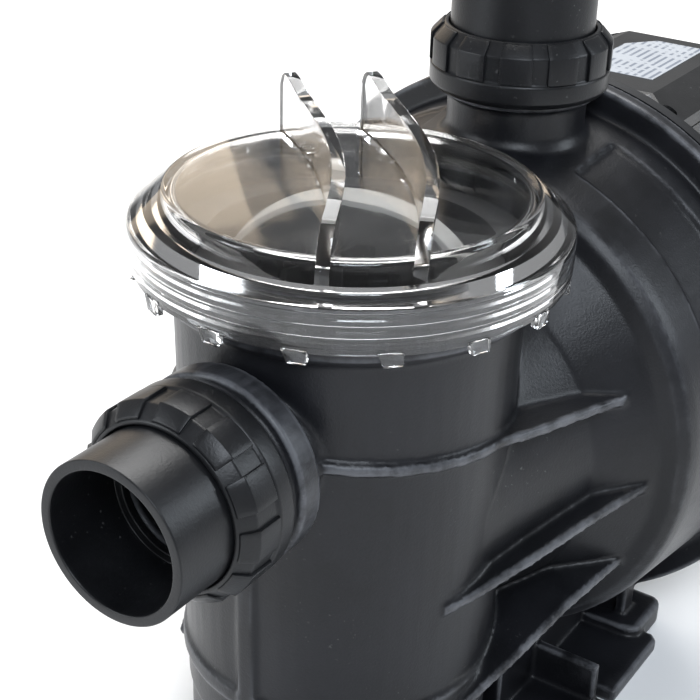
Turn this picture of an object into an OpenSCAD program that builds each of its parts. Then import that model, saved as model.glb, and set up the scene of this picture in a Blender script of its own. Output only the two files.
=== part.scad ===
// Self-priming pool pump: strainer pot, volute, two union ports and a close-coupled motor.
// Local axes: x = 0 on the pot's axis, +x towards the motor, z = 0 on the ground.

/* [Overall] */
// height of the shaft above the ground
shaft_h = 164; // [150:1:200]
// height of the suction axis above the ground
inlet_h = 218; // [205:1:235]
// suction mouth to the pot's axis
suction_reach = 166; // [160:1:190]
// pot's axis to the discharge axis
discharge_x = 152.5; // [145:0.5:160]
// height of the lid skirt's lower edge
lid_h = 282; // [275:1:300]

/* [Lid] */
// outer radius of the lid's skirt
lid_r = 100; // [96:0.5:110]
// height of the skirt
lid_skirt_h = 21.7; // [18:0.1:26]
// radius of the flat top plate
lid_plate_r = 83.5; // [78:0.5:90]
// rise of the bevel ring above the skirt
lid_bevel_h = 14.2; // [10:0.1:20]
// moulded wall of the lid
lid_wall = 5; // [3:0.1:6]
// number of tabs below the skirt
lid_tabs = 16; // [8:1:24]
// height of the tall end of a fin
fin_h = 30; // [22:0.5:40]
// thickness of a fin
fin_t = 5.5; // [4:0.1:8]
// distance between the two fins
fin_gap = 40; // [34:0.5:46]
// lift of the lid per turn of its thread
lid_lead = 12; // [8:1:16]

/* [Pot] */
// outer radius of the pot at its top
pot_r = 80.5; // [76:0.5:86]
// outer radius of the pot at its foot
pot_low_r = 77.5; // [74:0.5:82]
// inner radius of the pot
pot_in_r = 73.5; // [70:0.5:76]
// height of the pot's floor
pot_floor_h = 62; // [50:1:80]
// outer radius of the neck under the lid
neck_r = 91.5; // [88:0.5:93]
// inner radius of the neck
neck_in_r = 84; // [82:0.5:85]

/* [Ports] */
// outer radius of a tailpiece
tail_r = 36.5; // [35:0.1:38]
// socket radius of a tailpiece
socket_r = 31.5; // [31:0.1:32]
// depth of the socket
socket_l = 38; // [30:1:40]
// free bore behind the socket
port_r = 27.5; // [25:0.5:29]
// widest radius of a union nut
nut_r = 46.2; // [44:0.1:50]
// length of a union nut
nut_l = 32; // [28:0.5:40]
// number of grip pads on a nut
nut_pads = 12; // [8:1:16]
// outer radius of the thread on a port
thread_r = 40.5; // [40:0.1:42]
// length of tailpiece outside the nut
tail_out = 31; // [25:0.5:40]

/* [Volute] */
// front face of the volute
vol_x = 96; // [92:0.5:102]
// radius of the duct from the pot where it meets the volute's cone
duct_r = 99; // [94:0.5:104]
// radius of the front shoulder
vol_r = 138; // [130:0.5:145]
// radius where the wall meets the flange
vol_back_r = 147; // [142:0.5:150]
// rear joint face of the volute
vol_end_x = 195; // [190:0.5:205]
// radius of the joint flange
flange_r = 161; // [156:0.5:163]
// thickness of the joint flange
flange_t = 10; // [8:0.5:14]
// number of flange bolts
flange_bolts_n = 10; // [6:1:12]
// wall of the casing
case_wall = 8; // [6:0.5:10]

/* [Foot] */
// thickness of the foot plate
foot_t = 8; // [6:0.5:12]
// half width of the foot plate
foot_y = 110; // [100:1:120]
// width of an open foot slot
slot_w = 9; // [7:0.5:12]
// place of the open foot slots
slot_x = 108; // [100:1:140]

/* [Wet end] */
// outer radius of the impeller
impeller_r = 66; // [60:1:74]
// radius of the impeller's eye
eye_r = 24; // [20:1:28]
// outer radius of the diffuser
diffuser_r = 92; // [86:1:100]

/* [Motor] */
// radius of the motor shell
motor_r = 72; // [68:1:78]
// height of the cooling fins
rib_h = 6; // [3:0.5:8]
// length of the motor shell
shell_l = 160; // [140:1:200]
// radius of the shaft at the bearings
shaft_r = 10; // [8:0.5:12]
// outer radius of a bearing
bearing_r = 23.5; // [21:0.5:26]
// half width of the terminal box
box_y = 55; // [45:1:60]
// length of the terminal box
box_l = 142; // [120:1:150]
// height of the terminal box's lid
box_top_h = 302; // [295:1:315]

/* [Fits] */
// gap between two pieces that are bolted together
joint_gap = 0.3; // [0.2:0.05:0.5]
// radial clearance of a running fit
run_gap = 0.05; // [0.02:0.01:0.09]

/* [Hidden] */
$fn = 72;
eps = 0.01;
lid_top_h = lid_h + lid_skirt_h + lid_bevel_h;
rim_h = lid_h + lid_skirt_h - 2.7;
seat_h = rim_h - 17;
lid_in_r = lid_r - 4.8;
nut_front_x = suction_reach - tail_out;
nut_rear_x = nut_front_x - nut_l;
lip_t = 5.5;
collar_t = 5;
neck_end_l = nut_l - lip_t - collar_t - 2 * joint_gap;
neck_end_x = nut_rear_x + neck_end_l;
dis_rear_h = 326;
dis_end_h = dis_rear_h + neck_end_l;
nut_bore_r = thread_r + 1.7;
plate_x = vol_end_x + joint_gap;
plate_end_x = plate_x + 8;
bracket_x = plate_end_x + 20;
shield_x = bracket_x + joint_gap;
shell_x = shield_x + 14;
shell_end_x = shell_x + shell_l;
rear_x = shell_end_x + joint_gap;
rear_end_x = rear_x + 14;
cover_end_x = rear_end_x + 34;
core_x = shell_x + 26;
core_l = shell_l - 52;
front_brg_x = shell_x - 12;
rear_brg_x = rear_x + 0.6;
brg_w = 12;
box_x = shell_x + 3;
box_base_h = shaft_h + motor_r + rib_h + joint_gap;
mid_x = (cover_end_x + 2.4 - suction_reach) / 2;
bolt_pcd_r = (vol_back_r + flange_r) / 2;
seal_x = plate_x - 4;
drain_h = pot_floor_h + 16;
vdrain_x = 140;
recess_x0 = vol_x + 32;
recess_x1 = vol_x + 72;
recess_t = 1.8;
cover_r = motor_r + 12;
ear_r = motor_r + 3;
pot_boss_y = pot_low_r + 14;
foot_x = shell_x + 60;
foot_bolt_y = 60;
belt_h = lid_h - 69;
belt_tilt = 5.5;
fin_turn = 41;
fin_bend_r = 290;

module shift() translate([-mid_x, 0, 0]) children();

// local z runs along +x on the shaft
module on_shaft() translate([0, 0, shaft_h]) rotate([0, 90, 0]) children();

// local z runs along -x on the suction axis
module on_suction() translate([0, 0, inlet_h]) rotate([0, -90, 0]) children();

// local z runs upwards on the discharge axis
module on_discharge() translate([discharge_x, 0, 0]) children();

module tube(ro, ri, z0, z1) translate([0, 0, z0]) difference() {
  cylinder(r = ro, h = z1 - z0);
  translate([0, 0, -1]) cylinder(r = ri, h = z1 - z0 + 2);
}

module rod(r, z0, z1) translate([0, 0, z0]) cylinder(r = r, h = z1 - z0);

module torus(big, small, z) translate([0, 0, z])
  rotate_extrude() translate([big, 0]) circle(r = small, $fn = 24);

module around(n, r, a0 = 0) for (i = [0:n - 1])
  rotate([0, 0, a0 + i * 360 / n]) translate([r, 0, 0]) children();

// ---------------------------------------------------------------- casing

module pot_outer() rotate_extrude() polygon([
  [0, pot_floor_h - 7], [pot_low_r, pot_floor_h - 7], [pot_low_r, pot_floor_h + 12],
  [pot_low_r + 2.5, pot_floor_h + 13], [pot_low_r + 2.5, pot_floor_h + 21],
  [pot_low_r + 0.3, pot_floor_h + 23], [pot_r, seat_h - 16], [neck_r, seat_h - 8],
  [neck_r, rim_h], [0, rim_h]
]);

module pot_hollow() rotate_extrude() polygon([
  [0, pot_floor_h], [pot_in_r - 6, pot_floor_h], [pot_in_r, pot_floor_h + 6],
  [pot_in_r, seat_h], [neck_in_r, seat_h], [neck_in_r, rim_h + 1], [0, rim_h + 1]
]);

module volute_outer() on_shaft() rotate_extrude() polygon([
  [0, vol_x], [vol_r - 14, vol_x], [vol_r - 6, vol_x + 2.2], [vol_r - 1.6, vol_x + 6],
  [vol_r, vol_x + 12], [vol_back_r, vol_end_x - flange_t],
  [flange_r - 1, vol_end_x - flange_t], [flange_r, vol_end_x - flange_t + 1],
  [flange_r, vol_end_x], [0, vol_end_x]
]);

module volute_hollow() on_shaft() rotate_extrude() polygon([
  [0, vol_x + case_wall], [vol_r - 18, vol_x + case_wall], [vol_r - 9, vol_x + case_wall + 9],
  [vol_back_r - 9, vol_end_x + 1], [0, vol_end_x + 1]
]);

// the flared duct that joins the pot to the volute's front wall
module duct_outer() on_shaft() rotate_extrude() polygon([
  [0, 0], [pot_r - 0.9, 0], [85, 25], [92, 50], [duct_r, 72], [vol_r - 14, vol_x + 0.4],
  [vol_r - 14, vol_x + 3], [0, vol_x + 3]
]);

module duct_hollow() on_shaft() rotate_extrude() polygon([
  [0, 20], [70, 20], [80, 30], [86.8, 50], [duct_r - 5.5, 72], [duct_r - 5.5, vol_x - 0.5],
  [0, vol_x - 0.5]
]);

// radius of the volute's drafted wall at x
function wall_r(x) = vol_r
  + (vol_back_r - vol_r) * (x - vol_x - 12) / (vol_end_x - flange_t - vol_x - 12);

// shallow panel on the shoulder beside the discharge neck
module wall_recess(side) translate([0, 0, shaft_h]) rotate([90, 0, 90])
  rotate([0, 0, side > 0 ? 90 - 62 : 90 + 20])
  rotate_extrude(angle = 42) polygon([
    [wall_r(recess_x0) - recess_t, recess_x0], [wall_r(recess_x1) - recess_t, recess_x1],
    [flange_r, recess_x1], [flange_r, recess_x0]
  ]);

module suction_outer() on_suction() {
  rod(36, 30, 90);
  rod(thread_r, 88, neck_end_x);
  rod(nut_r - 1, 85.5, nut_rear_x - 4);
}

module discharge_outer() on_discharge() {
  translate([0, 0, shaft_h]) cylinder(r1 = 34, r2 = 36, h = dis_rear_h - shaft_h - 2);
  rod(thread_r, dis_rear_h - 3, dis_end_h);
  translate([0, 0, shaft_h + vol_r - 3]) cylinder(r1 = 40, r2 = 35, h = 9);
}

// a web fills the corner between the pot's side and the volute's face
module web(side, z0, tilt, pts, t = 5) translate([0, 0, z0]) rotate([0, -tilt, 0])
  scale([1, side, 1]) linear_extrude(height = t, center = true) polygon(pts);

module webs(side) {
  web(side, belt_h, -belt_tilt, [[0, 40], [0, 83], [24, 91], [54, 98], [vol_x + 4, 110],
    [vol_x + 4, 40]]);
  web(side, lid_h - 143, 11, [[0, 40], [-28, 76], [-10, 84], [20, 95], [60, 108],
    [vol_x + 5, 123], [vol_x + 5, 40]]);
  web(side, lid_h - 204, 17, [[-40, 40], [-44, 72], [-14, 84], [20, 92], [60, 100],
    [vol_x + 8, 112], [vol_x + 8, 40]]);
}

module belt() translate([0, 0, belt_h]) rotate([0, belt_tilt, 0])
  linear_extrude(height = 5, center = true) intersection() {
    circle(r = pot_r + 3);
    translate([-100, -100]) square([106, 200]);
  }

module foot_plan() polygon([
  [-84, -56], [40, -66], [78, -foot_y], [170, -foot_y], [174, -foot_y + 4],
  [174, foot_y - 4], [170, foot_y], [78, foot_y], [40, 66], [-84, 56]
]);

// a foot slot is open to the side
module foot_slot(side) {
  translate([slot_x, side * (foot_y - 12), -1]) cylinder(r = slot_w / 2, h = foot_t + 2);
  translate([slot_x - slot_w / 2, side > 0 ? foot_y - 12 : -foot_y - 20, -1])
    cube([slot_w, 32, foot_t + 2]);
}

module lobe(side) hull() {
  translate([166, side * 50, 0]) cylinder(r = 6, h = 14, $fn = 32);
  translate([196, side * 50, 0]) cylinder(r = 6, h = 14, $fn = 32);
  translate([194, side * 92, 0]) cylinder(r = 8, h = 14, $fn = 32);
  translate([170, side * 92, 0]) cylinder(r = 8, h = 14, $fn = 32);
}

module feet() {
  linear_extrude(height = foot_t) foot_plan();
  tube(pot_low_r - 1.5, pot_low_r - 7, 1, pot_floor_h - 6);
  for (side = [-1, 1]) {
    lobe(side);
    translate([60, side * 62 - 3, 1]) cube([126, 6, 44]);
    translate([vol_x + 2, side > 0 ? 59 : -103, 1]) cube([6, 44, 30]);
    translate([172, side * 84 - 3, 1]) cube([14, 6, 56]);
  }
  translate([60, -62, 1]) cube([6, 124, 60]);
  translate([-pot_low_r - 3, -5, foot_t - 1]) cube([8, 10, inlet_h - 60]);
}

module pump_casing() color([0.15, 0.16, 0.175]) shift() difference() {
  union() {
    pot_outer();
    difference() {
      union() {
        volute_outer();
        duct_outer();
      }
      rod(lid_r + 2, lid_h - 6.5, lid_h + 100);
    }
    suction_outer();
    discharge_outer();
    belt();
    for (side = [-1, 1]) webs(side);
    feet();
    on_pot_drain() rod(15, 60, pot_boss_y);
    on_volute_drain() rod(14, 130, vol_r + 12);
  }
  pot_hollow();
  duct_hollow();
  volute_hollow();
  on_shaft() rod(flange_r + 0.5, vol_end_x + 0.1, vol_end_x + 20);
  on_shaft() rod(33, 40, vol_x + 20);
  on_suction() rod(port_r, 40, 200);
  on_suction() tube(38, 34, neck_end_x - 3, neck_end_x + 1);
  on_discharge() rod(port_r, shaft_h + 100, 400);
  on_discharge() tube(38, 34, dis_end_h - 3, dis_end_h + 1);
  for (side = [-1, 1]) wall_recess(side);
  on_shaft() around(flange_bolts_n, bolt_pcd_r, 18) rod(3.2, vol_end_x - 8, vol_end_x + 1);
  for (side = [-1, 1]) foot_slot(side);
  on_pot_drain() rod(8, 50, 120);
  on_volute_drain() rod(8, 110, 170);
}

// ---------------------------------------------------------------- lid

module lid_shell() rotate_extrude() polygon([
  [0, lid_top_h], [lid_plate_r, lid_top_h], [lid_r, lid_h + lid_skirt_h], [lid_r, lid_h],
  [lid_in_r, lid_h], [lid_in_r, rim_h + 0.4],
  [89.9, rim_h + 0.4], [89.9, rim_h + 4.3], [85.5, rim_h + 4.3], [85.5, rim_h + 0.4],
  [82.5, rim_h + 0.4], [80.5, lid_top_h - lid_wall], [0, lid_top_h - lid_wall]
]);

// top edge of a fin, as places along it and shares of its height
fin_tops = [
  [-90, -0.2], [-88, 0], [-86.5, 0.25], [-80, 0.5], [-66, 0.61], [-48, 0.68], [-20, 0.7], [0, 0.72],
  [26, 0.75], [50, 0.86], [62, 0.98], [67, 1], [70, 0.94], [72.5, 0.8]
];

// two curved fins cross the plate from the motor side to the near side
module fin(off) intersection() {
  rotate([0, 0, fin_turn]) translate([-9, fin_bend_r - 6.5 + off, 0]) difference() {
    cylinder(r = fin_bend_r + fin_t / 2, h = 400);
    translate([0, 0, -1]) cylinder(r = fin_bend_r - fin_t / 2, h = 402);
  }
  rotate([0, 0, fin_turn]) translate([0, -70, 0]) rotate([90, 0, 0]) translate([0, 0, -100])
    linear_extrude(height = 130) polygon([
      [-90, lid_h + lid_skirt_h + 1],
      for (p = fin_tops) [p[0], lid_top_h + p[1] * fin_h],
      [74, lid_top_h - 2], [-80, lid_top_h - 2]
    ]);
}

module strainer_lid() color([0.82, 0.85, 0.86, 0.35]) shift() {
  lid_shell();
  intersection() {
    union() {
      fin(fin_gap / 2);
      fin(-fin_gap / 2);
    }
    rod(lid_r - 4, lid_h + lid_skirt_h + 1, lid_top_h + fin_h + 1);
  }
  around(lid_tabs, lid_r - 3, 20.5) translate([-1.5, -5.5, lid_h - 4.5]) cube([3.5, 11, 6]);
  translate([24, 36, lid_top_h - 1]) cylinder(r = 7, h = 2.4);
}

module lid_seal() color([0.06, 0.06, 0.06]) shift()
  torus(87.7, 1.9, rim_h + 0.25 + 1.9);

// ---------------------------------------------------------------- basket

basket_r = pot_in_r - 3.5;
basket_low_r = basket_r - 7;
basket_floor_h = pot_floor_h + 8;
handle_r = 66.5;
handle_h = lid_top_h - lid_wall - handle_r - 4;

module strainer_basket() color([0.9, 0.9, 0.88]) shift() difference() {
  rotate_extrude() polygon([
    [0, basket_floor_h], [basket_low_r, basket_floor_h], [basket_r, seat_h - 4],
    [basket_r, seat_h + joint_gap], [neck_in_r - 1.2, seat_h + joint_gap],
    [neck_in_r - 1.2, seat_h + 3.5], [basket_r - 3, seat_h + 3.5],
    [basket_low_r - 3, basket_floor_h + 3], [0, basket_floor_h + 3]
  ]);
  for (row = [0:4]) around(12, basket_low_r, row * 15)
    translate([-15, -9, basket_floor_h + 14 + row * 35]) cube([40, 18, 27]);
  on_suction() rod(30, 20, 90);
  for (a = [0:60:300]) rotate([0, 0, a]) translate([14, -5, basket_floor_h - 1])
    cube([36, 10, 6]);
}

module basket_handle() color([0.92, 0.92, 0.9]) shift() rotate([0, 0, -70])
  translate([0, 0, handle_h]) rotate([90, 0, 0]) {
    difference() {
      translate([0, 0, -8]) intersection() {
        cylinder(r = handle_r, h = 16);
        translate([-80, 20, -1]) cube([160, 60, 20]);
      }
      translate([0, 0, -9]) cylinder(r = handle_r - 2.8, h = 18);
    }
    for (side = [-1, 1]) translate([side * 62.8 - 2.4, 18, -8]) cube([4.8, 10, 16]);
  }

// ---------------------------------------------------------------- unions

// z runs outwards from the port; z0 is the nut's rear face
module union_nut(z0) translate([0, 0, z0]) {
  difference() {
    rotate_extrude() polygon([
      [nut_bore_r, 0], [nut_r - 3, 0], [nut_r - 0.3, 3], [nut_r - 0.3, 12], [nut_r - 1.8, 13],
      [nut_r - 1.8, nut_l - 6.5], [nut_r - 7.4, nut_l], [tail_r + 0.8, nut_l],
      [tail_r + 0.8, nut_l - lip_t], [nut_bore_r, nut_l - lip_t]
    ]);
  }
  for (i = [0:nut_pads - 1]) rotate([0, 0, i * 360 / nut_pads - 10])
    rotate_extrude(angle = 20) polygon([
      [nut_r - 3, 11], [nut_r, 11], [nut_r, nut_l - 6], [nut_r - 5.6, nut_l - 0.4],
      [nut_r - 7.6, nut_l - 0.4], [nut_r - 3, nut_l - 8]
    ]);
}

module tailpiece(z0) {
  c0 = z0 + neck_end_l + joint_gap;
  difference() {
    union() {
      rod(tail_r, c0, z0 + nut_l + tail_out);
      rod(thread_r - 0.3, c0, c0 + collar_t);
    }
    translate([0, 0, c0 - 1]) cylinder(r = port_r, h = 100);
    rod(socket_r, z0 + nut_l + tail_out - socket_l, z0 + nut_l + tail_out + 1);
  }
}

module suction_tailpiece() color([0.1, 0.105, 0.11]) shift() on_suction() tailpiece(nut_rear_x);

module suction_nut() color([0.12, 0.125, 0.13]) shift() on_suction() union_nut(nut_rear_x);

module suction_seal() color([0.05, 0.05, 0.05]) shift() on_suction()
  torus(36, 1.4, neck_end_x - 1.5);

module discharge_tailpiece() color([0.1, 0.105, 0.11]) shift() on_discharge()
  tailpiece(dis_rear_h);

module discharge_nut() color([0.12, 0.125, 0.13]) shift() on_discharge() union_nut(dis_rear_h);

module discharge_seal() color([0.05, 0.05, 0.05]) shift() on_discharge()
  torus(36, 1.4, dis_end_h - 1.5);

// ---------------------------------------------------------------- drains

// z runs outwards; z0 is the boss's face
module drain_plug(z0) {
  difference() {
    rod(7.6, z0 - 12, z0 + 3);
    rod(4, z0 - 13, z0 - 3);
  }
  difference() {
    rod(13, z0 + 2.6, z0 + 9);
    around(10, 14.4, 0) rod(2.2, z0 + 1, z0 + 10);
  }
  translate([-10, -2.5, z0 + 8]) cube([20, 5, 6]);
}

module drain_ring(z0) torus(9.6, 1.1, z0 + 0.2 + 1.1);

module on_pot_drain() translate([0, 0, drain_h]) rotate([-90, 0, 0]) children();

module on_volute_drain() translate([vdrain_x, 0, shaft_h]) rotate([-125, 0, 0]) children();

module pot_drain_plug() color([0.1, 0.1, 0.11]) shift() on_pot_drain()
  drain_plug(pot_boss_y);

module pot_drain_seal() color([0.05, 0.05, 0.05]) shift() on_pot_drain()
  drain_ring(pot_boss_y);

module volute_drain_plug() color([0.1, 0.1, 0.11]) shift() on_volute_drain()
  drain_plug(vol_r + 12);

module volute_drain_seal() color([0.05, 0.05, 0.05]) shift() on_volute_drain()
  drain_ring(vol_r + 12);

// ---------------------------------------------------------------- wet end

module diffuser() color([0.2, 0.2, 0.21]) shift() on_shaft() {
  rotate_extrude() polygon([
    [28, 92], [31, 92], [31, 112], [diffuser_r - 4, 112], [diffuser_r, 116],
    [diffuser_r, 150], [diffuser_r - 3.5, 150], [diffuser_r - 3.5, 118],
    [diffuser_r - 6, 115.5], [28, 115.5]
  ]);
  for (i = [0:7]) rotate([0, 0, i * 45]) {
    translate([impeller_r + 3, -1.5, 114]) cube([diffuser_r - impeller_r - 5, 3, 38]);
  }
  for (i = [0:3]) rotate([0, 0, i * 90 + 22.5])
    translate([diffuser_r - 6, -5, 149]) cube([6, 10, plate_x - joint_gap - 149]);
}

module diffuser_seal() color([0.05, 0.05, 0.05]) shift() on_shaft()
  tube(32.7, 31.3, 94, 99);

module impeller() color([0.5, 0.47, 0.4]) shift() on_shaft() {
  tube(eye_r + 3, eye_r, 110, 129);
  tube(impeller_r, eye_r, 128, 131);
  tube(impeller_r, 6.5, 146, 149);
  tube(14, 6.5, 138, 170);
  for (i = [0:5]) rotate([0, 0, i * 60]) intersection() {
    translate([40, 0, 0]) tube(36, 33.5, 130, 147);
    tube(impeller_r - 0.5, 13, 130, 147);
    translate([0, 2, 130]) cube([80, 80, 17]);
  }
}

module impeller_cap() color([0.72, 0.6, 0.3]) shift() on_shaft() {
  difference() {
    union() {
      rod(6, 130, 137.7);
      translate([0, 0, 132]) cylinder(r = 11, h = 5.7, $fn = 6);
    }
    rod(4, 126, 137);
  }
}

module seal_seat() color([0.85, 0.84, 0.8]) shift() on_shaft() tube(20, 12.5, seal_x, seal_x + 6);

module seal_head() color([0.2, 0.2, 0.2]) shift() on_shaft() tube(18, 12.2, seal_x - 7, seal_x - 0.3);

module seal_spring() color([0.7, 0.7, 0.7]) shift() on_shaft() for (k = [0:5])
  torus(15.5, 1.15, 172.2 + k * 2);

module seal_plate() color([0.11, 0.115, 0.12]) shift() on_shaft() difference() {
  union() {
    rod(flange_r, plate_x, plate_end_x);
    rod(34, plate_end_x - 1, bracket_x);
    tube(66, 58, plate_end_x - 1, bracket_x);
    for (i = [0:7]) rotate([0, 0, i * 45]) translate([30, -3, plate_end_x - 1])
      cube([32, 6, bracket_x - plate_end_x]);
    for (i = [0:11]) rotate([0, 0, i * 30 + 15]) translate([64, -2.5, plate_end_x - 1])
      cube([74, 5, 6]);
  }
  rod(21, plate_x - 1, plate_x + 2.2);
  rod(13, plate_x - 2, bracket_x + 1);
  tube(145, 141, plate_x - 1, plate_x + 3.4);
  around(flange_bolts_n, bolt_pcd_r, 18) rod(3.3, plate_x - 1, bracket_x);
  around(4, 62, 45) {
    rod(3.3, plate_x - 1, bracket_x + 1);
    rod(5.4, plate_x - 1, plate_x + 5);
  }
}

module casing_seal() color([0.05, 0.05, 0.05]) shift() on_shaft() torus(143, 1.6, plate_x + 1.7);

module flange_bolts() color([0.72, 0.72, 0.7]) shift() on_shaft()
  around(flange_bolts_n, bolt_pcd_r, 18) {
    rod(3, vol_end_x - 7, plate_end_x + 3);
    translate([0, 0, plate_end_x + 2]) cylinder(r = 5.5, h = 4.5, $fn = 6);
  }

module flange_washers() color([0.75, 0.75, 0.73]) shift() on_shaft()
  around(flange_bolts_n, bolt_pcd_r, 18) tube(5.8, 3.3, plate_end_x + 0.1, plate_end_x + 1.7);

module bracket_bolts() color([0.72, 0.72, 0.7]) shift() on_shaft() around(4, 62, 45) {
  rod(3, plate_x + 4, shield_x + 10);
  rod(5, plate_x + 1, plate_x + 4.8);
}

module slinger() color([0.05, 0.05, 0.05]) shift() on_shaft()
  translate([0, 0, plate_end_x + 8]) rotate_extrude() polygon([
    [shaft_r + 0.1, 0], [12, 0], [12.4, 4], [11.4, 6], [shaft_r + 0.1, 6]
  ]);

// ---------------------------------------------------------------- motor

module front_end_shield() color([0.24, 0.25, 0.27]) shift() on_shaft() difference() {
  union() {
    rod(motor_r, shield_x, shell_x - joint_gap);
    rod(motor_r - 5, shell_x - 1, shell_x + 6);
    around(4, 62, 45) rod(9, shield_x, shell_x - joint_gap);
    around(4, ear_r, 45) rod(6, shield_x + 4, shell_x - joint_gap);
  }
  rod(bearing_r + run_gap, front_brg_x, shell_x + 7);
  rod(12, shield_x - 1, shell_x);
  tube(motor_r - 9, bearing_r + 6, shield_x + 6, shell_x + 7);
  around(4, 62, 45) rod(3.1, shield_x - 1, shield_x + 11);
  around(4, ear_r, 45) rod(2.2, shield_x + 3, shell_x);
  around(4, ear_r, 45) rod(4, shield_x - 1, shield_x + 4.1);
}

module motor_shell() color([0.22, 0.23, 0.25]) shift() on_shaft() difference() {
  union() {
    rod(motor_r, shell_x, shell_end_x);
    for (i = [0:35]) if (i % 36 != 18 && abs(i - 18) > 3) rotate([0, 0, i * 10])
      translate([motor_r - 1, -1.5, shell_x + 8]) cube([rib_h + 1, 3, shell_l - 16]);
    rotate([0, 0, 180]) translate([motor_r - 10, -32, shell_x + 10])
      cube([rib_h + 10, 64, shell_l - 24]);
  }
  rod(motor_r - 4, shell_x - 1, shell_end_x + 1);
  rotate([0, 0, 180]) translate([motor_r - 12, -10, core_x + core_l + 6]) cube([30, 20, 14]);
}

module stator_core() color([0.5, 0.5, 0.52]) shift() on_shaft() difference() {
  rod(motor_r - 4 - run_gap, core_x, core_x + core_l);
  rod(40.6, core_x - 1, core_x + core_l + 1);
  around(24, 46, 0) translate([-5, -2.4, core_x - 1]) cube([14, 4.8, core_l + 2]);
}

module stator_windings() color([0.72, 0.38, 0.2]) shift() on_shaft() {
  for (z = [core_x - 17.3, core_x + core_l + 0.3]) rotate_extrude()
    translate([42, z]) polygon([[2, 0], [13, 0], [15, 3], [15, 17], [0, 17], [0, 3]]);
  around(24, 46, 0) translate([-4.2, -1.8, core_x - 1]) cube([12.4, 3.6, core_l + 2]);
}

module rotor_core() color([0.55, 0.55, 0.57]) shift() on_shaft() {
  tube(40, shaft_r + 2.5 + run_gap, core_x, core_x + core_l);
  for (z = [core_x - 8, core_x + core_l]) tube(36, 22, z, z + 8);
}

module motor_shaft() color([0.75, 0.75, 0.76]) shift() on_shaft() difference() {
  union() {
    rod(6.4, 138.4, 171);
    rod(12, 170.4, plate_end_x + 4);
    rod(shaft_r, plate_end_x + 3, rear_end_x + 2);
    rod(shaft_r + 2.5, core_x - 10, core_x + core_l + 10);
    rod(8, rear_end_x, cover_end_x - 8);
  }
  rod(2.4, cover_end_x - 16, cover_end_x);
}

module bearing_outer(z0) difference() {
  rod(bearing_r, z0, z0 + brg_w);
  rod(bearing_r - 4, z0 - 1, z0 + brg_w + 1);
  torus(16.75, 3.9, z0 + brg_w / 2);
}

module bearing_balls(z0) around(8, 16.75, 0) translate([0, 0, z0 + brg_w / 2])
  sphere(r = 3.7, $fn = 20);

module bearing_inner(z0) difference() {
  rod(14, z0, z0 + brg_w);
  rod(shaft_r + run_gap, z0 - 1, z0 + brg_w + 1);
  torus(16.75, 3.9, z0 + brg_w / 2);
}

module front_bearing_outer() color([0.7, 0.7, 0.72]) shift() on_shaft() bearing_outer(front_brg_x + 0.2);

module front_bearing_balls() color([0.85, 0.85, 0.87]) shift() on_shaft() bearing_balls(front_brg_x + 0.2);

module front_bearing_inner() color([0.7, 0.7, 0.72]) shift() on_shaft() bearing_inner(front_brg_x + 0.2);

module rear_bearing_outer() color([0.7, 0.7, 0.72]) shift() on_shaft() bearing_outer(rear_brg_x - 4);

module rear_bearing_balls() color([0.85, 0.85, 0.87]) shift() on_shaft() bearing_balls(rear_brg_x - 4);

module rear_bearing_inner() color([0.7, 0.7, 0.72]) shift() on_shaft() bearing_inner(rear_brg_x - 4);

module wave_washer() color([0.78, 0.78, 0.78]) shift() on_shaft()
  tube(22.6, 19.5, rear_brg_x + brg_w - 3.8, rear_brg_x + brg_w - 3);

module rear_end_shield() color([0.24, 0.25, 0.27]) shift() on_shaft() difference() {
  union() {
    rod(motor_r, rear_x, rear_end_x);
    rod(motor_r - 5, rear_x - 6, rear_x + 1);
    around(4, ear_r, 45) rod(6, rear_x, rear_end_x - 2);
    around(4, motor_r, 0) rod(6, rear_x + 4, rear_end_x);
  }
  rod(bearing_r + run_gap, rear_x - 7, rear_brg_x + brg_w - 2.6);
  rod(12, rear_x - 8, rear_end_x + 1);
  tube(motor_r - 9, bearing_r + 6, rear_x - 7, rear_end_x - 6);
  around(4, motor_r, 0) rod(2, rear_end_x - 9, rear_end_x + 1);
  around(4, ear_r, 45) rod(2.2, rear_x - 1, rear_end_x);
  around(4, ear_r, 45) rod(4, rear_end_x - 2.1, rear_end_x + 1);
}

module tie_rods() color([0.7, 0.7, 0.7]) shift() on_shaft() around(4, ear_r, 45) {
  rod(2, shield_x + 2, rear_end_x);
  rod(3.6, shield_x + 1.5, shield_x + 3.8);
  rod(3.6, rear_end_x - 1.8, rear_end_x + 1.2);
}

module cooling_fan() color([0.08, 0.08, 0.09]) shift() on_shaft() {
  tube(16, 8 + run_gap, rear_end_x + 6, rear_end_x + 24);
  tube(58, 15, rear_end_x + 6, rear_end_x + 8.5);
  for (i = [0:8]) rotate([0, 0, i * 40]) translate([15, -1.2, rear_end_x + 8])
    cube([43, 2.4, 16]);
}

module fan_cover() color([0.1, 0.1, 0.11]) shift() on_shaft() difference() {
  union() {
    rotate_extrude() polygon([
      [cover_r - 2.5, rear_x + 4], [cover_r, rear_x + 4], [cover_r, cover_end_x - 10],
      [cover_r - 8, cover_end_x], [0, cover_end_x], [0, cover_end_x - 3],
      [cover_r - 10, cover_end_x - 3], [cover_r - 2.5, cover_end_x - 11]
    ]);
    around(4, motor_r, 0) rod(4.5, rear_end_x + joint_gap, cover_end_x - 2);
  }
  around(4, motor_r, 0) rod(2.2, rear_end_x - 1, cover_end_x + 1);
  for (i = [0:15]) rotate([0, 0, i * 22.5 + 11.25])
    translate([18, -2.2 , cover_end_x - 4]) cube([44, 4.4, 6]);
}

module fan_cover_screws() color([0.7, 0.7, 0.7]) shift() on_shaft() around(4, motor_r, 0) {
  rod(1.7, rear_end_x - 8, cover_end_x + 1);
  rod(3.6, cover_end_x + 0.1, cover_end_x + 2.4);
}

// ---------------------------------------------------------------- terminal box

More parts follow.
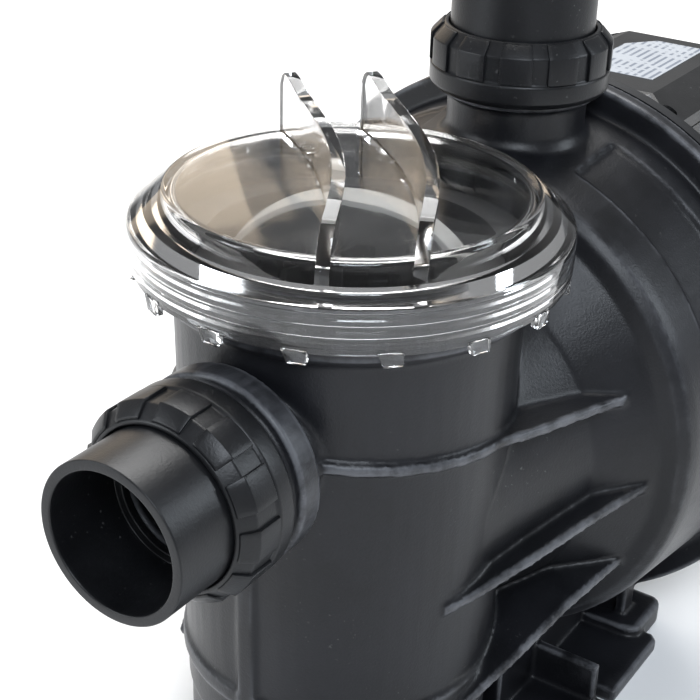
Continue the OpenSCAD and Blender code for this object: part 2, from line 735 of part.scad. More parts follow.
// a plain block between x0 and x1, +-y, h0 and h1
module box_shell(x0, x1, y, h0, h1) translate([x0, -y, h0]) cube([x1 - x0, 2 * y, h1 - h0]);

// one place for each corner screw of the lid
module box_corners() for (sx = [0, 1], side = [-1, 1])
  translate([box_x + 9 + sx * (box_l - 18), side * (box_y - 9), 0]) children();

module terminal_box() color([0.09, 0.09, 0.1]) shift() difference() {
  union() {
    difference() {
      box_shell(box_x, box_x + box_l, box_y, box_base_h, box_top_h - 18);
      box_shell(box_x + 4, box_x + box_l - 4, box_y - 4, box_base_h + 4, box_top_h);
    }
    box_corners() rod(6, box_base_h + 3, box_top_h - 18);
  }
  box_corners() rod(1.6, box_top_h - 34, box_top_h);
  on_gland() rod(8, box_y - 6, box_y + 1);
}

module terminal_gasket() color([0.05, 0.05, 0.05]) shift() difference() {
  box_shell(box_x + 0.5, box_x + box_l - 0.5, box_y - 0.5, box_top_h - 17.9, box_top_h - 17.1);
  box_shell(box_x + 3.5, box_x + box_l - 3.5, box_y - 3.5, box_top_h - 20, box_top_h - 15);
}

module terminal_lid() color([0.09, 0.09, 0.1]) shift() difference() {
  intersection() {
    translate([box_x, 0, 0]) rotate([90, 0, 90]) linear_extrude(height = box_l) polygon([
      [-box_y, box_top_h - 17], [box_y, box_top_h - 17], [box_y, box_top_h - 10],
      [box_y - 22, box_top_h], [-box_y + 22, box_top_h], [-box_y, box_top_h - 10]
    ]);
    translate([0, box_y + 1, 0]) rotate([90, 0, 0]) linear_extrude(height = 2 * box_y + 2)
      polygon([
        [box_x, box_top_h - 17], [box_x, box_top_h - 8], [box_x + 14, box_top_h],
        [box_x + box_l - 14, box_top_h], [box_x + box_l, box_top_h - 8],
        [box_x + box_l, box_top_h - 17]
      ]);
  }
  box_shell(box_x + 4, box_x + box_l - 4, box_y - 4, box_top_h - 20, box_top_h - 14);
  box_shell(box_x + 22, box_x + box_l - 22, box_y - 26, box_top_h - 20, box_top_h - 3);
  box_corners() {
    rod(2, box_top_h - 30, box_top_h + 10);
    rod(4.5, box_top_h - 12, box_top_h + 8);
  }
}

module terminal_screws() color([0.75, 0.75, 0.76]) shift() box_corners() {
  rod(1.3, box_top_h - 32, box_top_h - 11);
  rod(3.6, box_top_h - 11.8, box_top_h - 9.2);
}

module terminal_block() color([0.8, 0.78, 0.7]) shift() difference() {
  box_shell(box_x + 92, box_x + 128, 16, box_base_h + 4.2, box_base_h + 18);
  for (i = [0:3]) translate([box_x + 98 + i * 8, -17, box_base_h + 14]) cube([4, 34, 6]);
}

module run_capacitor() color([0.75, 0.75, 0.74]) shift()
  translate([box_x + 14, 0, box_base_h + 25]) rotate([0, 90, 0]) {
    cylinder(r = 19, h = 64);
    translate([0, 0, 64]) cylinder(r = 16, h = 4);
  }

// ---------------------------------------------------------------- cable gland

gland_z = 262;

module on_gland() translate([box_x + 108, 0, gland_z]) rotate([-90, 0, 0]) children();

module gland_body() color([0.08, 0.08, 0.08]) shift() on_gland() difference() {
  union() {
    rod(7.8, box_y - 7, box_y + 6);
    translate([0, 0, box_y + 0.2]) cylinder(r = 12, h = 6, $fn = 6);
    rod(9, box_y + 6, box_y + 14);
  }
  rod(5, box_y - 8, box_y + 20);
}

module gland_seal() color([0.3, 0.3, 0.3]) shift() on_gland()
  tube(8.6, 4, box_y + 14.2, box_y + 18.5);

module gland_nut() color([0.08, 0.08, 0.08]) shift() on_gland() difference() {
  union() {
    translate([0, 0, box_y + 7]) cylinder(r = 12, h = 9, $fn = 6);
    translate([0, 0, box_y + 15.5]) cylinder(r1 = 10.5, r2 = 8.5, h = 6);
  }
  rod(9.3, box_y + 5, box_y + 18.8);
  rod(5, box_y + 5, box_y + 30);
}

// ---------------------------------------------------------------- label, feet

module rating_label() color([0.92, 0.93, 0.94]) shift()
  translate([box_x + 30, -30, box_top_h + 0.05]) cube([84, 56, 0.3]);

module motor_foot() color([0.1, 0.1, 0.11]) shift() difference() {
  union() {
    translate([foot_x, -74, 0]) cube([44, 148, foot_t]);
    translate([foot_x + 10, -46, foot_t - 1]) cube([24, 92, 94]);
    translate([foot_x, -5, foot_t - 1]) cube([44, 10, 80]);
  }
  on_shaft() rod(motor_r + rib_h + joint_gap, foot_x - 10, foot_x + 60);
  for (side = [-1, 1]) translate([foot_x + 22, side * foot_bolt_y, -1]) {
    for (dy = [-5, 5]) translate([0, dy, 0]) cylinder(r = 4, h = foot_t + 2);
    translate([-4, -5, 0]) cube([8, 10, foot_t + 2]);
  }
}

pump_casing();
strainer_lid();
lid_seal();
strainer_basket();
basket_handle();
suction_tailpiece();
suction_nut();
suction_seal();
discharge_tailpiece();
discharge_nut();
discharge_seal();
pot_drain_plug();
pot_drain_seal();
volute_drain_plug();
volute_drain_seal();
diffuser();
diffuser_seal();
impeller();
impeller_cap();
seal_seat();
seal_head();
seal_spring();
seal_plate();
casing_seal();
flange_bolts();
flange_washers();
bracket_bolts();
slinger();
front_end_shield();
motor_shell();
stator_core();
stator_windings();
rotor_core();
motor_shaft();
front_bearing_outer();
front_bearing_balls();
front_bearing_inner();
rear_bearing_outer();
rear_bearing_balls();
rear_bearing_inner();
wave_washer();
rear_end_shield();
tie_rods();
cooling_fan();
fan_cover();
fan_cover_screws();
terminal_box();
terminal_gasket();
terminal_lid();
terminal_screws();
terminal_block();
run_capacitor();
gland_body();
gland_seal();
gland_nut();
rating_label();
motor_foot();
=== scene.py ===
import bpy
import math
from mathutils import Matrix, Vector


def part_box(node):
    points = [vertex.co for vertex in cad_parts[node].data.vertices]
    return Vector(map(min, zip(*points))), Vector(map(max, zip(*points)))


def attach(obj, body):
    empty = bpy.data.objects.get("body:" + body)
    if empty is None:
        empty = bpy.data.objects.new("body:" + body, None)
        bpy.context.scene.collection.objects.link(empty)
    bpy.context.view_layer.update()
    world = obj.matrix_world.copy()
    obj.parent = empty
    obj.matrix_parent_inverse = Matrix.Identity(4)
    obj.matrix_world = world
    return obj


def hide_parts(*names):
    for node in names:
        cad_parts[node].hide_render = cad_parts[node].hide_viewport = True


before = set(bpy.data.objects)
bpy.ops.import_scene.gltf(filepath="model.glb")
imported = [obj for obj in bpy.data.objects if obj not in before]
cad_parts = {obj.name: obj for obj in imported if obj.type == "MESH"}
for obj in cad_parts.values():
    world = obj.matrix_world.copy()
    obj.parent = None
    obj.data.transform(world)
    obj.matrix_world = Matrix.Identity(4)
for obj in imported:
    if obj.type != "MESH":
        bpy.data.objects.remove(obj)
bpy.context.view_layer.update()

# ---- Studio: a flat pale floor, with soft boxes round it.
# The lens and place are those of a hand-held camera 0.7 m from the strainer lid.


def look_matrix(turn, tilt, roll):
    """Right, up and back directions of a camera from its three angles in degrees."""
    t, e, r = map(math.radians, (turn, tilt, roll))
    back = Vector((math.sin(t) * math.cos(e), -math.cos(t) * math.cos(e), math.sin(e)))
    right = Vector((math.cos(t), math.sin(t), 0.0))
    up = back.cross(right)
    side = right * math.cos(r) + up * math.sin(r)
    top = up * math.cos(r) - right * math.sin(r)
    return Matrix((side, top, back)).transposed()


bpy.ops.object.camera_add(location=(-0.6633, -0.34114, 0.55627))
camera = bpy.context.object
camera.name = "studio_camera"
camera.rotation_euler = look_matrix(-56.93, 27.26, 1.71).to_euler()
camera.data.sensor_width = 36.0
camera.data.lens = 77.35
camera.data.clip_end = 60.0
camera.data.dof.use_dof = False
bpy.context.scene.camera = camera
bpy.context.scene.view_settings.view_transform = "Standard"
bpy.context.scene.view_settings.exposure = 0.0

bpy.ops.mesh.primitive_plane_add(size=14.0, location=(0, 0, -0.0004))
floor = bpy.context.object
floor.name = "studio_floor"


def soft_box(name, place, aim, size, power, colour):
    """One rectangular light that faces a point."""
    bpy.ops.object.light_add(type="AREA", location=place)
    lamp = bpy.context.object
    lamp.name = name
    lamp.rotation_euler = (Vector(aim) - Vector(place)).to_track_quat("-Z", "Y").to_euler()
    lamp.data.shape = "RECTANGLE"
    lamp.data.size, lamp.data.size_y = size
    lamp.data.energy = power
    lamp.data.color = colour
    return lamp


soft_box("light_window", (-1.15, -0.85, 1.4), (0, -0.05, 0.2), (0.6, 0.8), 20, (0.84, 0.91, 1.0))
soft_box("light_over", (0.2, 0.2, 2.0), (-0.1, 0, 0.2), (0.9, 0.7), 12, (1.0, 0.99, 0.97))
soft_box("light_left", (-1.6, 1.2, 0.9), (0, 0, 0.15), (0.9, 1.1), 20, (0.9, 0.95, 1.0))
soft_box("light_right", (0.9, -1.6, 1.1), (0.1, 0, 0.15), (0.4, 0.9), 14, (0.84, 0.92, 1.0))
soft_box("light_backdrop", (1.9, 1.2, 3.4), (1.7, 1.1, 0), (2.4, 2.4), 150, (1.0, 1.0, 1.0))
soft_box("light_wall", (1.2, 2.3, 1.2), (-0.14, 0, 0.3), (1.9, 1.3), 13, (1.0, 0.82, 0.62))

sky = bpy.data.worlds.new("studio_air")
bpy.context.scene.world = sky
sky.use_nodes = True
sky.node_tree.nodes["Background"].inputs["Color"].default_value = (0.95, 0.97, 1.0, 1.0)
sky.node_tree.nodes["Background"].inputs["Strength"].default_value = 0.3


# ---- Casing: one glass-filled polypropylene moulding with the strainer pot, the volute, both
# threaded ports, the webs between them and the feet. The mould rounds every edge a little.


class Wire:
    """One output of a shader node. Sums and products of wires add Math nodes."""

    def __init__(self, tree, out):
        self.tree, self.out = tree, out

    def node(self, kind, settings, sockets, out=0):
        made = self.tree.nodes.new(kind)
        for key, value in settings.items():
            setattr(made, key, value)
        for key, value in sockets.items():
            if isinstance(value, Wire):
                self.tree.links.new(value.out, made.inputs[key])
            else:
                made.inputs[key].default_value = value
        return Wire(self.tree, made.outputs[out])

    def math(self, operation, a, b=0.0):
        return self.node("ShaderNodeMath", {"operation": operation}, {0: a, 1: b})

    def __add__(self, other):
        return self.math("ADD", self, other)

    def __radd__(self, other):
        return self.math("ADD", other, self)

    def __mul__(self, other):
        return self.math("MULTIPLY", self, other)

    def __rmul__(self, other):
        return self.math("MULTIPLY", other, self)

    def __sub__(self, other):
        return self.math("SUBTRACT", self, other)

    def __rsub__(self, other):
        return self.math("SUBTRACT", other, self)

    def above(self, level):
        return self.math("GREATER_THAN", self, level)

    def band(self, low, high):
        """0 below low, 1 above high, smooth between."""
        return self.node(
            "ShaderNodeMapRange",
            {"interpolation_type": "SMOOTHSTEP"},
            {"Value": self, "From Min": low, "From Max": high},
        )

    def blend(self, dark, light):
        """A colour between two, by this wire."""
        return self.node(
            "ShaderNodeMix",
            {"data_type": "RGBA"},
            {0: self, 6: dark, 7: light},
            out=2,
        )


def new_finish(name, constants):
    """An empty material with a Principled shader: returns it, its place wire and its shader."""
    made = bpy.data.materials.new(name)
    made.use_nodes = True
    tree = made.node_tree
    shader = tree.nodes["Principled BSDF"]
    for key, value in constants.items():
        shader.inputs[key].default_value = value
    spot = tree.nodes.new("ShaderNodeTexCoord")
    return made, Wire(tree, spot.outputs["Object"]), shader


def feed(shader, wires):
    """Links wires to the shader's sockets."""
    for key, wire in wires.items():
        wire.tree.links.new(wire.out, shader.inputs[key])


def noise(place, scale, detail=3.0, rough=0.55):
    return place.node(
        "ShaderNodeTexNoise", {}, {"Vector": place, "Scale": scale, "Detail": detail, "Roughness": rough}
    )


def grain(place, height, distance, strength=1.0):
    return place.node(
        "ShaderNodeBump", {}, {"Height": height, "Distance": distance, "Strength": strength}
    )


def moulded_plastic(name, dark, light, rough, texture=0.0001, edge_scuff_and_highlight=0.0):
    """Satin moulded plastic: cloudy colour, a fine eroded skin, faint smears and dust specks.
    The last argument lightens the sharp outer edges towards a bluish grey: partly scuffed skin, partly a painted
    highlight along them."""
    made, place, shader = new_finish(name, {"IOR": 1.5, "Specular IOR Level": 0.3})
    cloud = noise(place, 9.0, 4.0)
    fine = noise(place, 800.0, 2.0, 0.7)
    smear = noise(place, 38.0, 5.0, 0.65)
    dust = noise(place, 420.0, 1.0).band(0.7, 0.8) * noise(place, 14.0).band(0.45, 0.7)
    tone = ((cloud * 0.5 + smear * 0.3) + fine * 0.2).band(0.38, 0.62).blend(dark, light)
    if edge_scuff_and_highlight:
        # Painted highlight mixed with scuff wear: sharp edges, found by pointiness, lightened towards bluish grey.
        sharp = place.node("ShaderNodeNewGeometry", {}, {}, "Pointiness").band(0.503, 0.53)
        tone = (sharp * smear.band(0.3, 0.6) * edge_scuff_and_highlight).blend(tone, (0.16, 0.165, 0.18, 1))
    feed(
        shader,
        {
            "Base Color": (dust * 0.3).blend(tone, (0.22, 0.22, 0.22, 1)),
            "Roughness": smear * 0.16 + cloud * 0.08 + (rough - 0.12),
            "Normal": grain(place, fine + smear * 0.4, texture, 0.8),
        },
    )
    return made


def moulded(node, name, voxel, passes, most):
    """A copy of a CAD solid with its edges rounded as the mould leaves them."""
    obj = bpy.data.objects.new(name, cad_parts[node].data.copy())
    bpy.context.collection.objects.link(obj)
    bpy.ops.object.select_all(action="DESELECT")
    bpy.context.view_layer.objects.active = obj
    obj.select_set(True)
    bpy.ops.object.mode_set(mode="EDIT")
    bpy.ops.mesh.select_all(action="SELECT")
    bpy.ops.mesh.remove_doubles(threshold=0.00001)
    bpy.ops.object.mode_set(mode="OBJECT")
    skin = obj.modifiers.new("skin", "REMESH")
    skin.mode, skin.voxel_size = "VOXEL", voxel
    bpy.ops.object.modifier_apply(modifier="skin")
    ease = obj.modifiers.new("ease", "SMOOTH")
    ease.factor, ease.iterations = 0.5, passes
    bpy.ops.object.modifier_apply(modifier="ease")
    count = len(obj.data.polygons) * 2
    if count > most:
        thin = obj.modifiers.new("thin", "DECIMATE")
        thin.ratio = most / count
        bpy.ops.object.modifier_apply(modifier="thin")
    bpy.ops.object.shade_smooth()
    obj.data.materials.clear()
    return obj


casing_skin = moulded_plastic(
    "casing_skin", (0.0045, 0.0048, 0.006, 1), (0.0095, 0.01, 0.0125, 1), 0.37, 0.00016, 0.6
)
casing = moulded("pump_casing", "casing", 0.0013, 6, 190000)
casing.data.materials.append(casing_skin)
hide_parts("pump_casing")
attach(casing, "casing")

# ---- Strainer lid: clear polycarbonate, moulded in one piece with its two curved grip fins, the
# thread inside its skirt and the small tabs along its lower edge.

LID_X = -0.14115


def round_off(points, radius, steps=4):
    """An outline with its inner corners rounded, for a turned profile."""
    out = [points[0]]
    for a, b, c in zip(points, points[1:], points[2:]):
        a, b, c = Vector(a), Vector(b), Vector(c)
        reach = min(radius, (a - b).length * 0.45, (c - b).length * 0.45)
        start, end = b + (a - b).normalized() * reach, b + (c - b).normalized() * reach
        for k in range(steps + 1):
            t = k / steps
            out.append(tuple(start * (1 - t) ** 2 + b * 2 * t * (1 - t) + end * t * t))
    return out + [points[-1]]


def turned(name, profile, centre, axis, steps=96, sweep=360.0, start=None):
    """A profile of (radius, along) pairs spun about an axis."""
    axis = Vector(axis)
    out = start or axis.orthogonal().normalized()
    places = [Vector(centre) + out * r + axis * h for r, h in profile]
    bpy.ops.object.select_all(action="DESELECT")
    bpy.ops.mesh.primitive_plane_add(size=0.001)
    obj = bpy.context.object
    obj.name = name
    bpy.ops.object.mode_set(mode="EDIT")
    bpy.ops.mesh.merge(type="CENTER")
    bpy.ops.transform.translate(value=places[0])
    for a, b in zip(places, places[1:]):
        bpy.ops.mesh.extrude_vertices_move(TRANSFORM_OT_translate={"value": b - a})
    bpy.ops.mesh.select_all(action="SELECT")
    bpy.ops.mesh.spin(steps=steps, angle=math.radians(sweep), center=centre, axis=axis)
    bpy.ops.mesh.select_all(action="SELECT")
    bpy.ops.mesh.remove_doubles(threshold=0.000001)
    if sweep < 360:
        bpy.ops.mesh.select_all(action="DESELECT")
        bpy.ops.mesh.select_non_manifold()
        bpy.ops.mesh.fill_holes(sides=0)
        bpy.ops.mesh.select_all(action="SELECT")
    bpy.ops.mesh.normals_make_consistent(inside=False)
    bpy.ops.object.mode_set(mode="OBJECT")
    return obj


def smooth(obj, angle=32.0):
    bpy.ops.object.select_all(action="DESELECT")
    obj.select_set(True)
    bpy.context.view_layer.objects.active = obj
    bpy.ops.object.shade_smooth_by_angle(angle=math.radians(angle))


def join(first, others):
    """Joins like pieces into one object."""
    bpy.ops.object.select_all(action="DESELECT")
    for o in others:
        o.select_set(True)
    first.select_set(True)
    bpy.context.view_layer.objects.active = first
    bpy.ops.object.join()
    return first


def weld(base, extra):
    """Makes one closed solid of two that overlap."""
    bpy.ops.object.select_all(action="DESELECT")
    base.select_set(True)
    bpy.context.view_layer.objects.active = base
    cut = base.modifiers.new("weld", "BOOLEAN")
    cut.operation, cut.solver, cut.object = "UNION", "EXACT", extra
    bpy.ops.object.modifier_apply(modifier="weld")
    bpy.data.objects.remove(extra)


lid_low, lid_edge, lid_top = 0.282, 0.3037, 0.3179
lid_thread = [
    (0.0952, lid_edge - 0.0035), (0.0936, lid_edge - 0.0045), (0.0936, lid_edge - 0.0055),
    (0.0952, lid_edge - 0.0067), (0.0952, lid_edge - 0.0087), (0.0936, lid_edge - 0.0097),
    (0.0936, lid_edge - 0.0107), (0.0952, lid_edge - 0.0119), (0.0952, lid_edge - 0.0139),
    (0.0936, lid_edge - 0.0149), (0.0936, lid_edge - 0.0159), (0.0952, lid_edge - 0.0171),
]
lid_outside = round_off(
    [(0.0, lid_top), (0.0835, lid_top), (0.0998, lid_edge + 0.0002), (0.1, lid_edge - 0.005),
     (0.1, lid_low + 0.004), (0.0985, lid_low + 0.0035), (0.0985, lid_low), (0.0955, lid_low)], 0.0012)
lid_inside = round_off(
    [(0.0825, 0.3014), (0.0812, 0.306), (0.0795, 0.3129), (0.0, 0.3129)], 0.002)
lid_shelf = [(0.0952, 0.3014), (0.0899, 0.3014), (0.0899, 0.3053), (0.0855, 0.3053), (0.0855, 0.3014)]
lid = turned(
    "lid",
    lid_outside + [(0.0952, lid_low + 0.0006)] + lid_thread[::-1] + lid_shelf + lid_inside,
    (LID_X, 0, 0), (0, 0, 1), 144)

fin_turn = math.radians(41.0)
fin_tops = (
    (-0.0895, -0.004), (-0.088, 0.0), (-0.0865, 0.0078), (-0.08, 0.015), (-0.066, 0.0183),
    (-0.048, 0.0204), (-0.02, 0.021), (0.0, 0.0216), (0.026, 0.0225), (0.05, 0.0258),
    (0.062, 0.0294), (0.067, 0.03), (0.0705, 0.0278), (0.0725, 0.023),
)


def fin_line(s, side):
    """How far a fin's middle sheet stands from the lid's axis, at s along it."""
    return 0.29 - math.sqrt(0.29**2 - (s + 0.009) ** 2) - 0.0075 + side


def fin_height(s):
    """Top edge of a fin above the plate, smooth between its measured places."""
    for (a, low), (b, high) in zip(fin_tops, fin_tops[1:]):
        if s <= b:
            break
    return lid_top + low + (high - low) * min(max((s - a) / (b - a), 0.0), 1.0)


def fin_foot(s, side):
    """Just inside the lid's outer face, under the fin."""
    r = math.hypot(s, fin_line(s, side))
    return min(lid_top, lid_top - (r - 0.0835) / 0.0163 * 0.0142) - 0.0016


def pick(obj, wanted):
    """Leaves the piece in edit mode with only the wanted corners selected."""
    bpy.ops.object.mode_set(mode="EDIT")
    bpy.ops.mesh.select_mode(type="VERT")
    bpy.ops.mesh.select_all(action="DESELECT")
    bpy.ops.object.mode_set(mode="OBJECT")
    for corner in obj.data.vertices:
        corner.select = wanted(corner.co)
    bpy.ops.object.mode_set(mode="EDIT")


def grip_fin(name, side):
    """One curved fin with a rounded top edge, drawn up from a flat sheet, column by column."""
    bpy.ops.object.select_all(action="DESELECT")
    bpy.ops.mesh.primitive_grid_add(
        x_subdivisions=60, y_subdivisions=12, size=1, rotation=(math.pi / 2, 0, 0))
    obj = bpy.context.object
    obj.name = name
    bpy.ops.object.transform_apply(location=True, rotation=True, scale=True)
    pick(obj, lambda place: True)
    bpy.ops.transform.resize(value=(0.162, 1, 1), center_override=(0, 0, 0))
    bpy.ops.transform.translate(value=(-0.0085, 0, 0))
    bpy.ops.object.mode_set(mode="OBJECT")
    for s in sorted({round(v.co.x, 5) for v in obj.data.vertices}):
        low = fin_foot(s, side)
        high = max(fin_height(s), low + 0.0022)
        lean = 0.11 * max(0.0, 1.0 - ((s + 0.025) / 0.07) ** 2)
        pick(obj, lambda place: abs(place.x - s) < 0.001)
        bpy.ops.transform.resize(value=(1, 1, high - low), center_override=(s, 0, 0))
        bpy.ops.transform.translate(value=(0, fin_line(s, side), (high + low) / 2))
        bpy.ops.transform.rotate(
            value=-math.atan(lean), orient_axis="X",
            center_override=(s, fin_line(s, side), lid_top))
        bpy.ops.object.mode_set(mode="OBJECT")
    obj.rotation_euler.z = fin_turn
    obj.location.x = LID_X
    bpy.ops.object.transform_apply(location=True, rotation=True, scale=True)
    thick = obj.modifiers.new("thick", "SOLIDIFY")
    thick.thickness, thick.offset = 0.0058, 0.0
    bpy.ops.object.modifier_apply(modifier="thick")
    edge = obj.modifiers.new("edge", "BEVEL")
    edge.width, edge.segments, edge.angle_limit = 0.0022, 4, math.radians(50)
    bpy.ops.object.modifier_apply(modifier="edge")
    bpy.ops.object.mode_set(mode="EDIT")
    bpy.ops.mesh.select_all(action="SELECT")
    bpy.ops.mesh.normals_make_consistent(inside=False)
    bpy.ops.object.mode_set(mode="OBJECT")
    return obj


def block(name, low, high, round_by=0.0):
    """A rectangular block between two corners, with its edges bevelled."""
    low, high = Vector(low), Vector(high)
    bpy.ops.object.select_all(action="DESELECT")
    bpy.ops.mesh.primitive_cube_add(size=1, location=(low + high) / 2)
    obj = bpy.context.object
    obj.name, obj.scale = name, high - low
    bpy.ops.object.transform_apply(location=True, rotation=True, scale=True)
    if round_by:
        bpy.ops.object.mode_set(mode="EDIT")
        bpy.ops.mesh.select_all(action="SELECT")
        bpy.ops.mesh.bevel(offset=round_by, segments=2, affect="EDGES")
        bpy.ops.object.mode_set(mode="OBJECT")
    return obj


for fin_side in (0.0195, -0.0195):
    weld(lid, grip_fin("fin", fin_side))
first_tab = block("tab", (0.0955, -0.0055, lid_low - 0.0045), (0.0994, 0.0055, lid_low + 0.002))
pick(first_tab, lambda place: place.y < 0 and place.z < lid_low)
bpy.ops.transform.translate(value=(0, 0.0028, 0))
bpy.ops.mesh.select_all(action="SELECT")
bpy.ops.mesh.bevel(offset=0.0006, segments=2, affect="EDGES")
bpy.ops.object.mode_set(mode="OBJECT")
tabs = []
for k in range(16):
    tab = first_tab.copy()
    tab.data = first_tab.data.copy()
    bpy.context.scene.collection.objects.link(tab)
    turn = Matrix.Rotation(math.radians(20.5 + 22.5 * k), 4, "Z")
    tab.data.transform(Matrix.Translation((LID_X, 0, 0)) @ turn)
    tabs.append(tab)
bpy.data.objects.remove(first_tab)
weld(lid, join(tabs[0], tabs[1:]))
gate = turned(
    "gate", [(0, lid_top - 0.001), (0.007, lid_top - 0.001), (0.007, lid_top + 0.001),
             (0.006, lid_top + 0.0014), (0.0035, lid_top + 0.0014), (0.003, lid_top + 0.0005), (0, lid_top + 0.0005)],
    (LID_X + 0.024, 0.036, 0), (0, 0, 1), 32)
weld(lid, gate)
smooth(lid, 28)

clear_skin, clear_place, clear_shader = new_finish(
    "clear_skin",
    {"Base Color": (0.955, 0.95, 0.94, 1), "Transmission Weight": 1.0, "IOR": 1.5, "Roughness": 0.02})
clear_film = noise(clear_place, 30.0, 4.0)
clear_wave = noise(clear_place, 9.0, 1.0)
feed(clear_shader, {
    "Roughness": clear_film.band(0.4, 0.75) * 0.1 + 0.03,
    "Normal": grain(clear_place, clear_wave, 0.0006, 0.35),
})
lid.data.materials.clear()
lid.data.materials.append(clear_skin)
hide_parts("strainer_lid")
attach(lid, "lid")

# ---- Seals: nitrile rings, dark and dull, all kept as their CAD solids.

rubber = moulded_plastic("seal_rubber", (0.008, 0.008, 0.008, 1), (0.016, 0.016, 0.016, 1), 0.62)


def finish_node(node, material):
    """Puts a finish on a CAD node that keeps its own mesh."""
    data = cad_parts[node].data
    data.materials.clear()
    data.materials.append(material)


for seal in ("lid_seal", "suction_seal", "discharge_seal", "pot_drain_seal", "volute_drain_seal",
             "diffuser_seal", "casing_seal", "slinger", "terminal_gasket", "gland_seal"):
    finish_node(seal, rubber)

# ---- Basket and handle: the basket hangs by its rim in the pot, and its white strap handle
# arches up to just below the lid.

basket_skin = moulded_plastic("basket_skin", (0.03, 0.031, 0.033, 1), (0.05, 0.051, 0.053, 1), 0.5)
finish_node("strainer_basket", basket_skin)
white_skin = moulded_plastic("white_skin", (0.62, 0.62, 0.6, 1), (0.72, 0.72, 0.7, 1), 0.42)
finish_node("basket_handle", white_skin)

# ---- Unions: a tailpiece with a pipe socket, held on its port by a nut with twelve grip pads.
# Both are black plastic.

union_skin = moulded_plastic("union_skin", (0.0045, 0.0047, 0.0055, 1), (0.009, 0.0095, 0.011, 1), 0.36, 0.00012)


def union_nut(name, rear, axis, first):
    """A nut whose rear face is centred at rear; its pads run from the middle over the chamfer."""
    ring = turned(name, round_off(
        [(0.0422, 0.0), (0.0432, 0.0), (0.0459, 0.003), (0.0459, 0.0115), (0.0446, 0.0128),
         (0.0446, 0.0255), (0.039, 0.032), (0.0373, 0.032), (0.0373, 0.0265), (0.0422, 0.0265), (0.0422, 0.0)],
        0.0009), rear, axis, 120)
    pads = []
    for k in range(12):
        turn = Matrix.Rotation(math.radians(first + 30 * k), 3, axis)
        pad = turned("pad", [(0.0435, 0.0122), (0.0457, 0.0122), (0.0462, 0.0128), (0.0462, 0.0258),
                             (0.0408, 0.0316), (0.0395, 0.0316), (0.0435, 0.0252), (0.0435, 0.0122)],
                     rear, axis, 6, 20.0, turn @ Vector(axis).orthogonal().normalized())
        edge = pad.modifiers.new("edge", "BEVEL")
        edge.width, edge.segments, edge.angle_limit = 0.0004, 2, math.radians(40)
        bpy.ops.object.modifier_apply(modifier="edge")
        pads.append(pad)
    join(ring, pads)
    smooth(ring, 35)
    ring.data.materials.append(union_skin)
    return ring


def tailpiece(name, rear, axis):
    """Pipe socket with a rounded mouth and a shoulder that the nut's lip pulls on."""
    made = turned(name, round_off(
        [(0.0275, 0.0212), (0.0402, 0.0212), (0.0402, 0.0262), (0.0365, 0.0262), (0.0365, 0.063),
         (0.0318, 0.063), (0.0315, 0.0615), (0.0315, 0.025), (0.0275, 0.025), (0.0275, 0.0212)],
        0.0008), rear, axis, 128)
    smooth(made, 35)
    made.data.materials.append(union_skin)
    return made


for side, rear, axis, first in (
    ("suction", (-0.24415, 0, 0.218), (-1, 0, 0), -10.0),
    ("discharge", (0.01135, 0, 0.326), (0, 0, 1), -10.0),
):
    nut = union_nut(side + "_collar_nut", rear, axis, first)
    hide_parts(side + "_nut")
    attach(nut, side + "_collar")
    tail = tailpiece(side + "_pipe_socket", rear, axis)
    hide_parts(side + "_tailpiece")
    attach(tail, side + "_tail")

# ---- Drain plugs: black plastic, knurled by ten scallops.

for plug in ("pot_drain_plug", "volute_drain_plug"):
    finish_node(plug, union_skin)

# ---- Wet end: diffuser and impeller inside the volute, then the seal plate bolted to its rim.

inner_skin = moulded_plastic("inner_skin", (0.1, 0.1, 0.105, 1), (0.16, 0.16, 0.165, 1), 0.45)
for part in ("diffuser", "impeller", "terminal_block"):
    finish_node(part, inner_skin)
plate_skin = moulded_plastic("plate_skin", (0.010, 0.0105, 0.0115, 1), (0.018, 0.0185, 0.02, 1), 0.42)
for part in ("seal_plate", "motor_foot", "fan_cover", "cooling_fan"):
    finish_node(part, plate_skin)


def metal(name, dark, light, rough, along=(1.0, 30.0, 30.0)):
    """Drawn or turned metal: fine lines one way and a cloudy dulling."""
    made, place, shader = new_finish(name, {"Metallic": 1.0})
    lines = noise(place.node("ShaderNodeMapping", {}, {"Vector": place, "Scale": along}), 60.0, 3.0)
    cloud = noise(place, 25.0, 4.0)
    feed(shader, {
        "Base Color": (cloud * 0.6 + lines * 0.4).band(0.3, 0.7).blend(dark, light),
        "Roughness": lines * 0.2 + cloud * 0.15 + (rough - 0.15),
        "Normal": grain(place, lines, 0.00003, 0.6),
    })
    return made


steel = metal("steel", (0.42, 0.42, 0.43, 1), (0.6, 0.6, 0.6, 1), 0.32)
for part in ("seal_spring", "flange_bolts", "flange_washers", "bracket_bolts", "motor_shaft",
             "front_bearing_outer", "front_bearing_balls", "front_bearing_inner",
             "rear_bearing_outer", "rear_bearing_balls", "rear_bearing_inner", "wave_washer",
             "tie_rods", "fan_cover_screws", "terminal_screws", "run_capacitor"):
    finish_node(part, steel)
finish_node("impeller_cap", metal("brass", (0.5, 0.34, 0.12, 1), (0.7, 0.5, 0.2, 1), 0.3))
finish_node("stator_windings", metal("copper_wire", (0.4, 0.16, 0.06, 1), (0.62, 0.28, 0.12, 1), 0.4))
lamination = metal("lamination", (0.16, 0.16, 0.165, 1), (0.3, 0.3, 0.31, 1), 0.45, (40.0, 1.0, 1.0))
finish_node("stator_core", lamination)
finish_node("rotor_core", lamination)
finish_node("seal_seat", moulded_plastic("ceramic", (0.6, 0.58, 0.52, 1), (0.7, 0.68, 0.62, 1), 0.25))
finish_node("seal_head", moulded_plastic("carbon", (0.012, 0.012, 0.013, 1), (0.03, 0.03, 0.03, 1), 0.4))

# ---- Motor: ribbed aluminium shell and end shields in dark enamel.

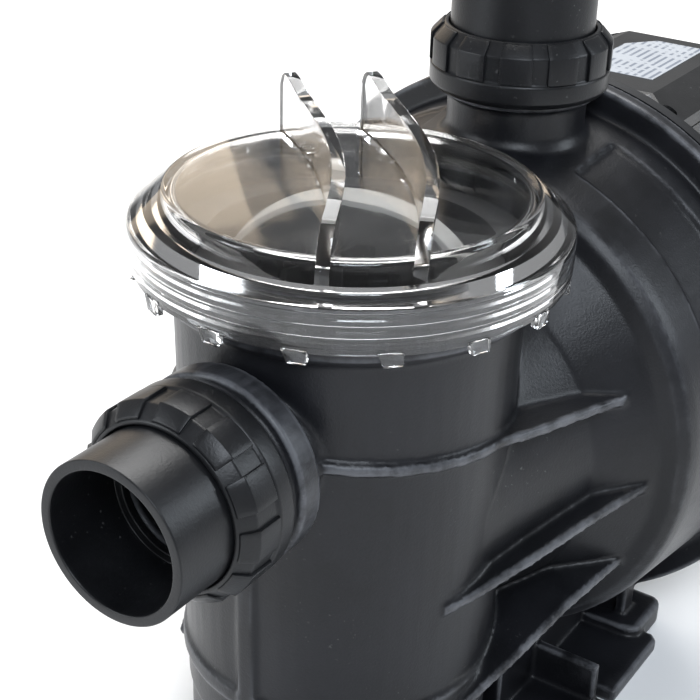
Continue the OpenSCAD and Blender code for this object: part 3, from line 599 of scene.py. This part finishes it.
enamel = moulded_plastic("enamel", (0.016, 0.017, 0.02, 1), (0.026, 0.028, 0.032, 1), 0.38, 0.00012)
for part in ("front_end_shield", "motor_shell", "rear_end_shield"):
    finish_node(part, enamel)

# ---- Terminal box: black box on the motor with a roof-shaped lid, four sunk screws, a cable
# gland and a blank rating label.

box_skin = moulded_plastic("box_skin", (0.009, 0.009, 0.0095, 1), (0.016, 0.016, 0.0165, 1), 0.4)
for part in ("terminal_box", "terminal_lid", "gland_body", "gland_nut"):
    finish_node(part, box_skin)
film, film_place, film_shader = new_finish("label_film", {"Roughness": 0.3})
film_axes = film_place.node("ShaderNodeSeparateXYZ", {}, {"Vector": film_place})
film_y = Wire(film_place.tree, film_axes.out.node.outputs["Y"])
rows_at = film_y * 210.0
rows = rows_at.math("FRACT", rows_at).above(0.6)
words = noise(film_place.node("ShaderNodeMapping", {}, {"Vector": film_place, "Scale": (1.0, 0.2, 1.0)}), 150.0)
rows = rows * words.band(0.44, 0.5)
feed(film_shader, {
    "Base Color": (rows * 0.8).blend((0.4, 0.42, 0.45, 1), (0.1, 0.12, 0.16, 1)),
    "Roughness": noise(film_place, 40.0) * 0.2 + 0.3,
})
roof_low, roof_high = (Vector(corner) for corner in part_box("terminal_lid"))
sheet = block(
    "label_sheet", (roof_low.x + 0.0375, -0.0225, roof_high.z + 0.00005),
    (roof_high.x - 0.0255, 0.0225, roof_high.z + 0.0003))
bpy.ops.object.mode_set(mode="EDIT")
bpy.ops.mesh.select_all(action="SELECT")
bpy.ops.mesh.bisect(
    plane_co=(roof_high.x - 0.0255, 0.0085, roof_high.z), plane_no=(0.606, 0.795, 0),
    use_fill=True, clear_outer=True)
bpy.ops.object.mode_set(mode="OBJECT")
sheet.data.materials.append(film)
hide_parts("rating_label")
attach(sheet, "casing")

# ---- Floor finish: a pale, matt sweep.

paper, paper_place, paper_shader = new_finish("paper", {"Roughness": 0.9})
feed(paper_shader, {
    "Base Color": noise(paper_place, 3.0).blend((0.86, 0.86, 0.86, 1), (0.9, 0.9, 0.9, 1)),
    "Normal": grain(paper_place, noise(paper_place, 300.0), 0.00005, 0.3),
})
floor.data.materials.append(paper)

bpy.context.view_layer.update()
